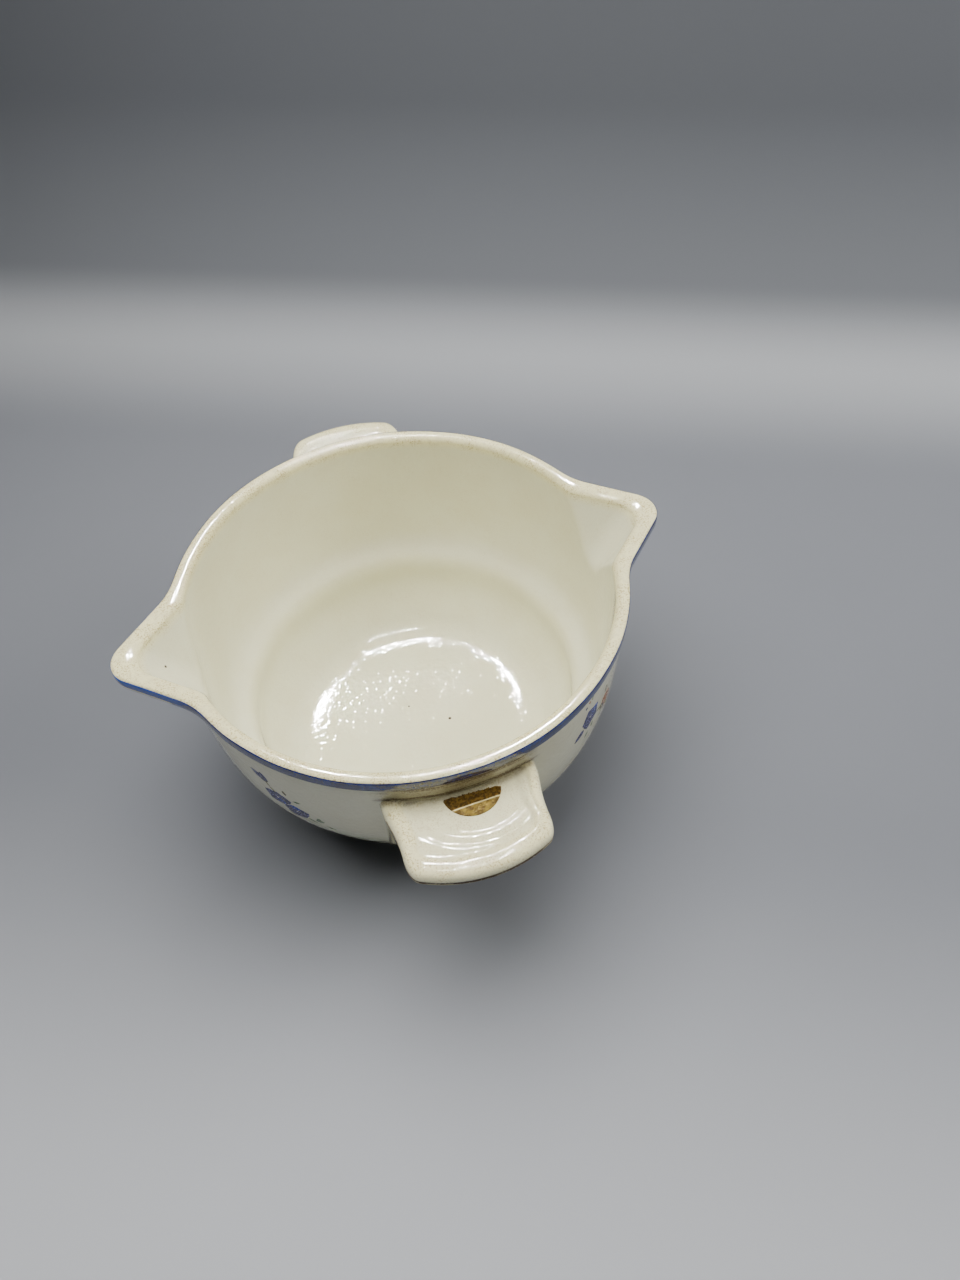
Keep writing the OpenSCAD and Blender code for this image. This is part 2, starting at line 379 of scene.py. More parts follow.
def bowl_piece(name, grid, normals, windows, cut_out, cut_in, material):
    """The bowl: the whole surface without the lips' columns, closed along both cuts."""
    rows, width = grid.shape[:2]
    hidden = set()
    for columns in windows:
        hidden.update(int(c) for c in columns[:-1])
    faces = []
    for j in range(rows - 1):
        for i in range(width):
            if cut_out <= j < cut_in and i in hidden:
                continue
            right = (i + 1) % width
            faces.append((j * width + i, j * width + right, (j + 1) * width + right,
                          (j + 1) * width + i))
    under, middle = rows * width, rows * width + 1
    last = (rows - 1) * width
    for i in range(width):
        faces.append((under, (i + 1) % width, i))
        faces.append((last + i, last + (i + 1) % width, middle))
    visible = len(faces)
    for columns in windows:
        for a, b in zip(columns[:-1], columns[1:]):
            faces.append((cut_out * width + a, cut_out * width + b,
                          cut_in * width + b, cut_in * width + a))
        first, end = columns[0], columns[-1]
        faces.append([j * width + first for j in reversed(range(cut_out, cut_in + 1))])
        faces.append([j * width + end for j in range(cut_out, cut_in + 1)])
    poles = [[0, 0, BASE_Z], [0, 0, grid[-1, :, 2].mean()]]
    points = np.concatenate([grid.reshape(-1, 3), poles])
    normal = np.concatenate([normals.reshape(-1, 3), [[0, 0, -1], [0, 0, 1]]])
    points, normal, faces = used_only(points, normal, faces)
    piece = make_piece(name, points, faces, material, normal, visible)
    return finish_piece(piece, ["bowl_body"])


def foot_piece(material):
    """The foot ring, turned, with its edges worn round."""
    inner_r, top = FOOT_R - 4.6, BASE_Z + 0.02
    section = [(inner_r - 0.6, top), (inner_r - 0.2, 1.4), (inner_r + 0.2, 0.45),
               (inner_r + 0.9, 0.05), (inner_r + 1.8, 0), (FOOT_R - 1.9, 0), (FOOT_R - 0.9, 0.06),
               (FOOT_R - 0.25, 0.5), (FOOT_R, 1.3), (FOOT_R + 0.5, 3), (FOOT_R + 1.5, top)]
    turns = np.radians(np.arange(0, 360, 2))
    points = np.array([polar(r + (z < 4) * unevenness(turns, z), turns, np.array(float(z)))
                       for r, z in section])
    faces = quads(len(section), len(turns), close_columns=True, close_rows=True)
    piece = make_piece("turned_foot", points.reshape(-1, 3), faces, material)
    return finish_piece(piece, ["foot_ring"])


# ---- painted line --------------------------------------------------------------
def line_piece(material):
    """The hand-painted line: a skin of enamel that follows the bead round the lips."""
    turns = lip_dense_turns()
    sag = ripple(turns, 0, 3, [(6, 1), (11, 1), (19, 1), (31, 1)], 0.35)
    drip = 1.2 * np.exp(-((turns - math.radians(187)) / math.radians(9)) ** 2)
    low = LINE_LOW + LINE_FALL + sag - drip
    high = LINE_HIGH + LINE_RISE + ripple(turns, 0, 8, [(5, 1), (13, 1), (23, 1)], 0.15)
    section = [(0, 0), (0.15, 0.09), (0.5, 0.12), (0.85, 0.09), (1, 0), (1, -0.3), (0, -0.3)]
    points = []
    for share, lift in section:
        z = low + (high - low) * share
        points.append(outer_point(turns, z, np.full(len(turns), lift)))
    faces = quads(len(section), len(turns), close_columns=True, close_rows=True)
    piece = make_piece("painted_line", np.array(points).reshape(-1, 3), faces, material)
    return finish_piece(piece, ["rim_line"])


# ---- handles --------------------------------------------------------------------
ROOT_X, ROOT_HALF = 70, 22.8      # the middle of a handle's root, and half its width
GRIP_THICK = 6
BORDER_RISE = 0.85    # the border stands this far above the rest of the handle's top
WELL_INSIDE = 20      # an inset far from the border
HALF_KNOTS = [(60, 22.7), (66, 22.8), (72, 22.6), (78, 21.5), (85, 21), (92, 21.3), (110, 21.5)]
# Edge of a handle from the bottom up: inset from the outline, drop below the crest
EDGE = [(3.4, 6), (2.2, 5.95), (1.3, 5.75), (0.75, 5.4), (0.4, 4.9), (0.16, 4.4), (0.06, 4.1),
        (0.06, 3.95), (0.2, 3.8), (0.36, 3.6), (0.4, 3.4), (0.36, 3.2), (0.16, 3.0), (0.02, 2.75),
        (0, 2.4), (0.12, 1.75), (0.45, 1.05), (0.95, 0.5), (1.6, 0.16), (2.3, 0.02), (2.9, 0)]
THUMB_STEPS = [(15.9, 0.42), (12.2, 0.42)]
THUMB_X, THUMB_Y = 73, 3
THUMB_WIDE = 1.3
WALL_AT_GRIP = 71.6
RIB_HALF = 25
RIB_KNOTS = [(64, 22), (70, 17), (72, 13.5), (74, 9.5), (77, 5.5), (80, 3), (84, 1.2), (92, 0),
             (100, 0)]


def grip_outline(rays, reach, arc, lean, blend):
    """Distance from the root point to the outline along each ray.

    The front is an arc whose middle lies lean to one side, and blend rounds the corners.
    """
    knots, halves = zip(*HALF_KNOTS)
    side = np.full(len(rays), 22.0)
    for _ in range(40):
        x = np.clip(ROOT_X + side * np.cos(rays), knots[0], knots[-1])
        side = spline_through(knots, x, halves) / np.maximum(np.abs(np.sin(rays)), 0.2)
    hub = reach - arc - ROOT_X
    along = hub * np.cos(rays) + lean * np.sin(rays)
    across = hub * np.sin(rays) - lean * np.cos(rays)
    front = along + np.sqrt(arc ** 2 - across ** 2)
    return -smooth_max(-side, -front, blend)


def grip_top(x, y, inset):
    """Height of a handle's top: a raised border, then steps down to the thumb rest."""
    z = HANDLE_Z - BORDER_RISE * smooth_step(inset, 4.2, 7.2)
    reach = np.hypot(x - THUMB_X, (y - THUMB_Y) / THUMB_WIDE)
    for radius, drop in THUMB_STEPS:
        z = z - drop * (1 - smooth_step(reach, radius - 0.8, radius + 0.8))
    away = np.maximum(np.hypot(x, y) - WALL_AT_GRIP, 0)
    z = z + 0.9 * np.exp(-away / 0.7)
    return z + 0.05 * np.sin(x / 2.3 + 1) * np.cos(y / 3.1) + 0.04 * np.sin(y / 1.9 + x / 4)


def grip_bottom(x, y):
    """Height of a handle's underside, with the support that sweeps down to the wall."""
    knots, depths = zip(*RIB_KNOTS)
    rib = spline_through(knots, x, depths)
    across = 1 - smooth_step(np.abs(y), RIB_HALF - 1.6, RIB_HALF + 0.9)
    return HANDLE_Z - GRIP_THICK - rib * across


def handle_piece(name, node, reach, turn, shape, material):
    """A handle. shape holds its front's arc and lean, its skew and its corners' rounding."""
    arc, lean, skew, blend = shape
    widest = math.atan2(ROOT_HALF, math.sqrt(ROOT_X ** 2 - ROOT_HALF ** 2) - ROOT_X)
    rays = np.linspace(-widest, widest, 181)
    length = grip_outline(rays, reach, arc, lean, blend)
    cos, sin = np.cos(rays), np.sin(rays)
    rooted = 0.9 * (1 - smooth_step(ROOT_X + length * cos, 74, 80))
    rows = []
    for share in np.linspace(0.04, 1, 26)[:-1]:
        out = share * (length - EDGE[0][0] * (1 - rooted))
        x, y = ROOT_X + out * cos, out * sin
        rows.append(np.stack([x, y, grip_bottom(x, y)], axis=1))
    for inset, drop in EDGE:
        low = smooth_step(drop, 4, 5.6)
        out = length - inset * (1 - rooted * low)
        x, y = ROOT_X + out * cos, out * sin
        under = grip_bottom(x, y) + GRIP_THICK - drop
        z = HANDLE_Z - drop * (1 - low) + low * (under - HANDLE_Z)
        rows.append(np.stack([x, y, z], axis=1))
    for share in np.linspace(1, 0.03, 46)[1:]:
        out = share * (length - EDGE[-1][0])
        x, y = ROOT_X + out * cos, out * sin
        rows.append(np.stack([x, y, grip_top(x, y, length - out)], axis=1))
    width, count = len(rays), len(rows)
    faces = quads(count, width)
    low, high = count * width, count * width + 1
    for i in range(width - 1):
        faces.append((low, i + 1, i))
        faces.append(((count - 1) * width + i, (count - 1) * width + i + 1, high))
    visible = len(faces)
    faces.append([low] + [j * width for j in range(count)] + [high])
    faces.append([high] + [j * width + width - 1 for j in reversed(range(count))] + [low])
    root = np.array([[ROOT_X, 0, grip_bottom(ROOT_X, 0)],
                     [ROOT_X, 0, grip_top(ROOT_X, 0, WELL_INSIDE)]], float)
    points = np.concatenate([np.array(rows).reshape(-1, 3), root])
    points[:, 1] += skew * (points[:, 0] - ROOT_X)
    piece = make_piece(name, turned(points, turn), faces, material, flat_from=visible)
    return finish_piece(piece, [node])


def shade(piece, name, values):
    """Stores a number per point, which the piece's material reads by name."""
    layer = piece.data.attributes.new(name, "FLOAT", "POINT")
    layer.data.foreach_set("value", np.asarray(values, np.float32))


def points_mm(piece):
    """A piece's points, in millimetres."""
    flat = np.empty(len(piece.data.vertices) * 3)
    piece.data.vertices.foreach_get("co", flat)
    return flat.reshape(-1, 3) / MM


# ---- foil label -----------------------------------------------------------------
def foil_piece(material):
    """A half-moon of crumpled foil stuck on the front handle's thumb rest.

    The seal was round, about the hub, and is torn off along the chord. Rays from
    centre, a point inside what is left, run to its edge.
    """
    centre, hub_x, hub_y, radius, chord = (75.2, 2.8), 71.0, 2.8, 8.7, 72.5
    slant, thick, sunk = 0.065, 0.15, 0.02
    rays = np.linspace(0, 2 * math.pi, 96, endpoint=False)
    cos, sin = np.cos(rays), np.sin(rays)
    offset = centre[0] - hub_x
    arc = -offset * cos + np.sqrt(radius ** 2 - (offset * sin) ** 2)
    ragged = 0.22 * np.sin(rays * 23) * np.sin(rays * 9 + 1) + 0.12 * np.sin(rays * 41)
    chord_at = np.where(cos < -0.05, (chord - centre[0] + ragged) / np.minimum(cos, -0.05), 99)
    edge = np.minimum(arc, chord_at)
    rings = []
    for share in np.linspace(0.06, 1, 18):
        x, y = centre[0] + share * edge * cos, centre[1] + share * edge * sin
        crease = np.abs(x - chord - 3.5 + slant * (y - hub_y))
        crumple = (0.10 * np.abs(np.sin(x * 1.9 + y * 0.7)) * np.abs(np.cos(y * 1.3 - x))
                   + 0.06 * np.abs(np.sin(x * 3.7 - y * 2.9)) + 0.12 * np.exp(-crease / 0.35))
        lift = thick + crumple * (1 - smooth_step(share, 0.85, 1))
        rings.append(np.stack([x, y, grip_top(x, y, WELL_INSIDE) + lift], axis=1))
    x, y = rings[-1][:, 0], rings[-1][:, 1]
    base = grip_top(x, y, WELL_INSIDE)
    rings.append(np.stack([x, y, base - sunk], axis=1))
    rings.append(np.stack([(x + centre[0]) / 2, (y + centre[1]) / 2, base - 2 * sunk], axis=1))
    rings = rings[::-1]
    count, width = len(rings), len(rays)
    base = grip_top(*centre, WELL_INSIDE)
    middle = [[*centre, base - 2 * sunk], [*centre, base + thick + 0.01]]
    faces = quads(count, width, close_columns=True)
    for i in range(width):
        faces.append((count * width, (i + 1) % width, i))
        faces.append(((count - 1) * width + i, (count - 1) * width + (i + 1) % width,
                      count * width + 1))
    points = np.concatenate([np.concatenate(rings), middle])
    piece = make_piece("gold_foil", turned(points, FRONT_TURN), faces, material)
    shade(piece, "along", points[:, 0] - chord + slant * (points[:, 1] - hub_y))
    return finish_piece(piece, ["foil_label"])


# ---- painted sprigs ---------------------------------------------------------------
PAINTS = {"ink": ((28, 28, 92), (50, 52, 122)), "blue": ((34, 50, 140), (52, 76, 166)),
          "pale": ((196, 198, 196), (216, 214, 204)), "leaf": ((92, 116, 84), (134, 150, 118)),
          "olive": ((84, 80, 48), (124, 118, 82)), "rust": ((134, 72, 36), (176, 118, 70))}
WALL_R = 71


class Sprig:
    """Brush dabs laid on the wall round one place, each a closed shell of paint."""

    def __init__(self, turn, z):
        self.turn, self.z = math.radians(turn), z
        self.points, self.faces, self.paints = [], [], []

    def dab(self, paint, a, b, length, width, tilt, belly=1.0):
        """A stroke from (a, b) towards tilt degrees, in millimetres along and up the wall."""
        start, rows, columns = len(self.points), 9, 10
        u = np.linspace(0.03, 0.97, rows)[:, None]
        angle = np.linspace(0, 2 * math.pi, columns, endpoint=False)[None, :]
        half = width / 2 * np.sin(math.pi * u ** belly) * (1 + 0.12 * np.sin(7 * u + a))
        side = half * np.cos(angle)
        rise = np.where(np.sin(angle) > 0, 0.11 * np.sqrt(np.sin(math.pi * u)), 0.25)
        cos, sin = math.cos(math.radians(tilt)), math.sin(math.radians(tilt))
        along = a + length * u * cos - side * sin
        up = b + length * u * sin + side * cos
        shell = outer_point(self.turn + along / WALL_R, self.z + up, rise * np.sin(angle))
        self.points.extend(shell.reshape(-1, 3))
        faces = quads(rows, columns, start, close_columns=True)
        faces.append([start + i for i in range(columns)])
        faces.append([start + (rows - 1) * columns + i for i in range(columns)])
        self.faces.extend(faces)
        self.paints.extend([list(PAINTS).index(paint)] * len(faces))

    def flower(self, paints, a, b, size, turn, eye="pale"):
        """Five petals round a small eye, with a gap left between them."""
        for k in range(5):
            tilt = turn + 72 * k
            cos, sin = math.cos(math.radians(tilt)), math.sin(math.radians(tilt))
            self.dab(paints[k % len(paints)], a + 0.3 * cos, b + 0.3 * sin,
                     size * (1 + 0.1 * math.sin(2.3 * k + turn)), size * 1.1, tilt, 0.9)
        self.dab(eye, a - 0.35, b, 0.7, 0.7, 0)

    def piece(self, name, node, materials):
        """All the dabs as one piece."""
        made = make_piece(name, self.points, self.faces, materials)
        made.data.polygons.foreach_set("material_index", self.paints)
        return finish_piece(made, [node])


def blue_sprig(turn, z):
    """Two dark blue flowers between a bud and a green leaf."""
    s = Sprig(turn, z)
    s.dab("ink", -3.8, 9.6, 7.2, 3.6, 140, 0.55)
    s.dab("ink", -4.6, 10.6, 4.2, 2.4, 104, 0.7)
    s.dab("olive", -5.2, 11, 4.6, 0.6, -72)
    s.dab("olive", -4, 7, 4, 0.6, -58)
    s.flower(("ink", "ink", "ink", "blue", "ink"), -2.6, 1, 4.4, 80)
    s.dab("olive", 1.6, 5.6, 2.9, 1.2, 104)
    s.dab("leaf", 3.2, 3.2, 3, 1.1, 12)
    s.flower(("ink", "blue", "ink", "ink", "ink"), 2.7, -4.6, 4.3, 20)
    s.dab("leaf", 6, -6.8, 3.4, 0.7, -34)
    s.dab("leaf", 8.6, -6.6, 3.4, 2, 8)
    s.dab("leaf", 9.4, -6.4, 2.6, 1.5, 62)
    s.dab("leaf", 11.6, -9.6, 3.4, 0.7, -30)
    return s


def mixed_sprig(turn, z):
    """A blue flower and a rust-red one, with a bud to one side."""
    s = Sprig(turn, z)
    s.dab("ink", -4.2, -1.4, 5.4, 3.2, 208, 0.65)
    s.dab("ink", -4.8, -0.6, 2.6, 0.8, 30)
    s.flower(("blue", "ink", "ink", "ink", "ink"), -1, 2, 4.8, 38)
    s.dab("ink", -4.4, 9.6, 1.4, 1.1, 80)
    s.dab("rust", -2.7, 11, 1.5, 1, 90)
    s.dab("leaf", -1.6, 11.6, 2, 0.8, 66)
    s.dab("leaf", -2.6, -8.4, 3.2, 1.3, 62)
    s.dab("leaf", 0.6, -5.6, 2.8, 1.1, 80)
    s.dab("olive", 2.8, -0.6, 4, 0.6, -14)
    s.flower(("rust", "rust", "olive"), 9.8, -2, 3.7, 60, "rust")
    s.dab("olive", 8.4, 3.2, 3.2, 1.1, 70)
    s.dab("leaf", 11.5, -6, 3.4, 1.4, -60)
    return s


# ---- materials ------------------------------------------------------------------
class Graph:
    """A node tree. A value may be a number, a colour or another node's output."""

    def __init__(self, tree):
        self.tree = tree

    def node(self, kind, inputs, output=0, **settings):
        """Adds a node and returns one of its outputs."""
        made = self.tree.nodes.new("ShaderNode" + kind)
        for key, value in settings.items():
            setattr(made, key, value)
        for key, value in inputs.items():
            self.join(made.inputs[key], value)
        return made.outputs[output]

    def join(self, socket, value):
        """Links an output to a socket, or sets the socket to a plain value."""
        if isinstance(value, bpy.types.NodeSocket):
            self.tree.links.new(value, socket)
        else:
            socket.default_value = value

    def math(self, operation, *values):
        return self.node("Math", dict(enumerate(values)), operation=operation)


class Finish(Graph):
    """One material's node tree, round its main shader."""

    def __init__(self, name, **constants):
        self.material = bpy.data.materials.new(name)
        self.material.use_nodes = True
        super().__init__(self.material.node_tree)
        self.shader = self.tree.nodes["Principled BSDF"]
        for key, value in constants.items():
            self.shader.inputs[key.replace("_", " ")].default_value = value
        place = self.node("TexCoord", {}, "Object")
        self.place = self.node("VectorMath", {0: place, "Scale": 1 / MM}, 0, operation="SCALE")

    def set(self, name, value):
        self.join(self.shader.inputs[name], value)

    def noise(self, size, detail=2.0, roughness=0.5, shift=0.0):
        """Noise from 0 to 1 whose blobs are about size millimetres across."""
        place = self.node("VectorMath", {0: self.place, 1: (shift, shift * 2, -shift)}, 0,
                          operation="ADD")
        return self.node("TexNoise", {"Vector": place, "Scale": 1 / size, "Detail": detail,
                                      "Roughness": roughness}, "Fac")

    def between(self, value, low, high, start=0.0, end=1.0):
        """Value from low to high, eased onto start to end."""
        return self.node("MapRange", {"Value": value, "From Min": low, "From Max": high,
                                      "To Min": start, "To Max": end}, "Result",
                         interpolation_type="SMOOTHSTEP")

    def mix(self, share, first, second):
        made = self.tree.nodes.new("ShaderNodeMix")
        made.data_type = "RGBA"
        self.join(made.inputs[0], share)
        self.join(made.inputs[6], first)
        self.join(made.inputs[7], second)
        return made.outputs[2]

    def read(self, name):
        return self.node("Attribute", {}, "Fac", attribute_name=name)

    def spot(self, where, size):
        """1 at a point of the object and 0 from size millimetres away."""
        away = self.node("VectorMath", {0: self.place, 1: where}, "Value", operation="DISTANCE")
        return self.between(away, size * 0.6, size, 1.0, 0.0)

    def bump(self, height, strength=1.0):
        """height is in millimetres."""
        normal = self.node("Bump", {"Height": height, "Strength": strength,
                                    "Distance": MM}, "Normal")
        self.set("Normal", normal)


def colour(red, green, blue):
    """A screen colour, 0 to 255, as the shader's linear colour."""
    linear = [((c / 255 + 0.055) / 1.055) ** 2.4 if c > 10 else c / 255 / 12.92
              for c in (red, green, blue)]
    return (*linear, 1.0)


# Where the glaze runs thin, on the rim and the handles' borders, it is painted the lighter cream:
# partly thin glaze, partly a painted highlight. The walls' darker tone is partly pooled glaze,
# partly painted shade.
CREAM = colour(243, 237, 188)
POOLED_AND_SHADED = colour(228, 227, 198)
WARM = colour(217, 209, 170)
FRECKLE = colour(188, 170, 112)
# Dark brown for dirt mixed with painted shade by the handles.
GRIME_AND_SHADE = colour(78, 54, 34)
DARK_SPECK = colour(70, 60, 48)
# Dark pinholes: where, and their radius
SPECKS = [(-76.3, 1.8, 77.9, 0.7), (79.3, 4.9, 81.9, 0.7), (11, -2, 6.2, 0.7), (-2, 9, 6.15, 0.5)]


def glaze(name):
    """Cream glaze: warm mottling, freckles, pinholes, orange-peel waves, old grime with painted
    shade, and a lighter cream where the glaze runs thin, partly a painted highlight.
    """
    g = Finish(name, IOR=1.52, Coat_Weight=0.4, Coat_Roughness=0.03)
    thin = g.read("thin")
    broad = g.between(g.noise(14, 3), 0.35, 0.7)
    # Lighter cream where the glaze runs thin, partly a painted highlight; the darker tone
    # elsewhere is partly painted shade.
    tone = g.mix(g.math("MULTIPLY", broad, 0.2), g.mix(thin, POOLED_AND_SHADED, CREAM), WARM)
    freckles = g.between(g.noise(0.5, 2, 0.6), 0.50, 0.62)
    patches = g.between(g.noise(5, 2, 0.5, 30), 0.36, 0.62, 0.25, 1.0)
    patches = g.math("MULTIPLY", patches, g.math("MULTIPLY_ADD", thin, 0.8, 0.12))
    freckled = g.math("MULTIPLY", freckles, patches)
    blotches = g.between(g.noise(1.9, 4, 0.7, 19), 0.44, 0.66)
    tone = g.mix(g.math("MULTIPLY", blotches, g.math("MULTIPLY", thin, 0.5)), tone, WARM)
    tone = g.mix(freckled, tone, FRECKLE)
    rings = g.node("VectorMath", {0: g.place, 1: (0.16, 0.16, 2.2)}, 0, operation="MULTIPLY")
    streaks = g.node("TexNoise", {"Vector": rings, "Scale": 0.9, "Detail": 4.0,
                                  "Roughness": 0.6}, "Fac")
    # Dirt mixed with painted shade by the handles, broken up by streaks, and rougher there.
    dirt_and_shade = g.read("dirt_and_shade")
    broken = g.math("MULTIPLY", dirt_and_shade, g.between(streaks, 0.3, 0.62, 0.45, 1.0))
    broken = g.math("MULTIPLY", broken, g.between(g.noise(0.5, 3, 0.6, 12), 0.3, 0.6, 0.6, 1.0))
    tone = g.mix(g.math("MINIMUM", broken, 0.93), tone, GRIME_AND_SHADE)
    for x, y, z, size in SPECKS:
        tone = g.mix(g.spot((x, y, z), size), tone, DARK_SPECK)
    g.set("Base Color", tone)
    worn = g.between(g.noise(3.5, 3, 0.55, 7), 0.4, 0.75, 0.015, 0.05)
    worn = g.math("MULTIPLY_ADD", thin, 0.05, worn)
    g.set("Roughness", g.math("ADD", worn, g.math("MULTIPLY", broken, 0.5)))
    waves = g.math("ADD", g.math("MULTIPLY", g.noise(1.8, 1, 0.4, 3), 0.085),
                   g.math("MULTIPLY", freckled, -0.003))
    waves = g.math("MULTIPLY", waves, g.math("MULTIPLY_ADD", thin, -0.7, 1.0))
    peel = g.math("MULTIPLY", g.noise(1.3, 1, 0.4, 5), g.math("MULTIPLY_ADD", thin, 0.035, 0.0))
    g.bump(g.math("ADD", waves, peel))
    return g.material


def cobalt():
    """Brushed blue enamel: dark where it is thick, brighter where the brush ran thin."""
    g = Finish("cobalt_enamel", Roughness=0.12, IOR=1.5, Coat_Weight=0.4, Coat_Roughness=0.05)
    strokes = g.between(g.noise(2.4, 4, 0.6), 0.35, 0.7)
    tone = g.mix(strokes, colour(20, 30, 84), colour(32, 52, 122))
    tone = g.mix(g.read("bright"), tone, colour(22, 78, 180))
    thin = g.between(g.noise(0.8, 3, 0.6, 9), 0.7, 0.82, 0.0, 0.3)
    g.set("Base Color", g.mix(thin, tone, colour(150, 160, 180)))
    g.set("Roughness", g.between(g.noise(1.6, 2, 0.5, 4), 0.3, 0.7, 0.08, 0.2))
    g.bump(g.math("MULTIPLY", g.noise(1.1, 3, 0.5, 2), 0.03))
    return g.material


def biscuit():
    """Unglazed clay where the dish stands, ground smooth and a little dirty."""
    g = Finish("bare_biscuit", Roughness=0.8, IOR=1.45)
    tone = g.mix(g.between(g.noise(4, 4, 0.6), 0.35, 0.7), colour(214, 203, 180),
                 colour(188, 172, 144))
    grit = g.between(g.noise(0.35, 2, 0.5, 6), 0.64, 0.72)
    g.set("Base Color", g.mix(grit, tone, colour(120, 104, 84)))
    g.set("Roughness", g.between(g.noise(1.5, 2), 0.3, 0.7, 0.65, 0.9))
    g.bump(g.math("MULTIPLY", g.noise(0.4, 3, 0.6, 8), 0.05))
    return g.material


def gold_foil():
    """Gold foil, brown along the torn edge, with a painted highlight along the fold."""
    g = Finish("gold_foil_leaf", Metallic=0.4, IOR=1.5)
    band = g.between(g.read("along"), 3.2, 3.5, 1.0, 0.0)
    gold = g.mix(g.between(g.noise(1.6, 4, 0.6), 0.38, 0.62), colour(150, 126, 46),
                 colour(98, 76, 22))
    # Painted highlight: a pale line along the fold.
    fold_highlight = g.math("MULTIPLY", g.between(g.read("along"), 3.25, 3.45),
                   g.between(g.read("along"), 3.6, 3.85, 1.0, 0.0))
    gold = g.mix(g.math("MULTIPLY", fold_highlight, 0.8), gold, colour(232, 218, 160))
    brown = g.mix(g.between(g.noise(0.9, 3, 0.6, 4), 0.36, 0.62), colour(126, 96, 32),
                  colour(76, 54, 16))
    g.set("Base Color", g.mix(band, gold, brown))
    g.set("Roughness", g.between(g.noise(0.9, 3, 0.6, 2), 0.3, 0.7, 0.4, 0.6))
    g.bump(g.math("MULTIPLY", g.noise(0.5, 3, 0.6, 1), 0.12))
    return g.material


def enamel(name, thick, thin):
    """Sprig paint: brush-streaked enamel that lets the glaze through where it is thin."""
    g = Finish(name, Roughness=0.2, IOR=1.5, Coat_Weight=0.2, Coat_Roughness=0.1)
    strokes = g.between(g.noise(0.8, 4, 0.6), 0.35, 0.68)
    g.set("Base Color", g.mix(strokes, colour(*thick), colour(*thin)))
    g.set("Roughness", g.between(g.noise(0.6, 2, 0.5, 3), 0.3, 0.7, 0.12, 0.3))
    g.bump(g.math("MULTIPLY", g.noise(0.5, 2, 0.5, 2), 0.02))
    return g.material


# ---- camera, floor and light ------------------------------------------------------
CAMERA_AT, LENS = (-35.886, -201.337, 314.003), 27.06


def add_camera():
    """Seen from in front, a little to the left and about 52 degrees above the table."""
    turn, height, roll = math.radians(-17), math.radians(51.9), math.radians(-3.66)
    back = Vector((math.sin(turn) * math.cos(height), -math.cos(turn) * math.cos(height),
                   math.sin(height)))
    right = Vector((0, 0, 1)).cross(back).normalized()
    up = back.cross(right)
    side = math.cos(roll) * right + math.sin(roll) * up
    top = math.cos(roll) * up - math.sin(roll) * right
    data = bpy.data.cameras.new("photo_camera")
    data.lens = LENS
    camera = bpy.data.objects.new("photo_camera", data)
    axes = Matrix((side, top, back)).transposed().to_4x4()
    camera.matrix_world = Matrix.Translation(Vector(CAMERA_AT) * MM) @ axes
    bpy.context.collection.objects.link(camera)
    bpy.context.scene.camera = camera


def add_floor():
    """Pale paper that lies flat in front and curves up behind the dish, with painted light on it:
    lighter in front, a bright band of painted sheen where it bends, and darker where it stands up.
    """
    g = Finish("backdrop_paper", Roughness=0.6, Specular_IOR_Level=0.0)
    turn = math.radians(-27)
    flat = g.mix(g.noise(60, 4, 0.6), colour(118, 121, 129), colour(122, 125, 133))
    back = g.node("VectorMath", {0: g.place, 1: (-math.sin(turn), math.cos(turn), 0)}, "Value",
                  operation="DOT_PRODUCT")
    # Painted light: the paper in front is painted much lighter, in place of a light from the
    # front.
    flat = g.mix(g.between(back, -200, -20), colour(194, 197, 205), flat)
    # Painted sheen: a lighter band where the paper bends up.
    folded = g.mix(g.between(back, 160, 246), flat, colour(172, 175, 181))
    height = g.node("SeparateXYZ", {"Vector": g.place}, "Z")
    # Painted shade: the paper standing up behind is painted darker.
    g.set("Base Color", g.mix(g.between(height, -9, 16), folded, colour(104, 107, 113)))
    g.bump(g.math("MULTIPLY", g.noise(0.6, 2, 0.6), 0.02), 0.4)
    near, bend, radius, width, columns = -1600, 236, 110, 2600, 9
    steepest = math.radians(78)
    profile = [(near, 0.0)] + [(y, 0.0) for y in np.linspace(-1200, bend, 12)]
    for angle in np.linspace(0, steepest, 24)[1:]:
        profile.append((bend + radius * math.sin(angle), radius * (1 - math.cos(angle))))
    last_y, last_z = profile[-1]
    profile.append((last_y + 300, last_z + 300 * math.tan(steepest)))
    across = np.linspace(-width, width, columns)
    points = turned([(x, y, z) for y, z in profile for x in across], turn)
    floor = make_piece("backdrop", points, quads(len(profile), columns), g.material)


LAMP_PITCH = 8        # from one small lamp of a panel to the next
LAMP_EDGE = 0.27      # a lamp is lit past this share of the pitch, out of a half


def add_light(name, place, target, power, size, spread=180):
    """A soft panel that lights the scene but makes no highlight of its own."""
    data = bpy.data.lights.new(name, "AREA")
    data.energy = power
    data.shape = "RECTANGLE"
    data.size, data.size_y = size[0] * MM, size[1] * MM
    data.spread = math.radians(spread)
    data.color = (1.0, 0.98, 0.93)
    light = bpy.data.objects.new(name, data)
    aim = (Vector(target) - Vector(place)).to_track_quat("-Z", "Y").to_matrix().to_4x4()
    light.matrix_world = Matrix.Translation(Vector(place) * MM) @ aim
    light.visible_glossy = False
    bpy.context.collection.objects.link(light)
    return light


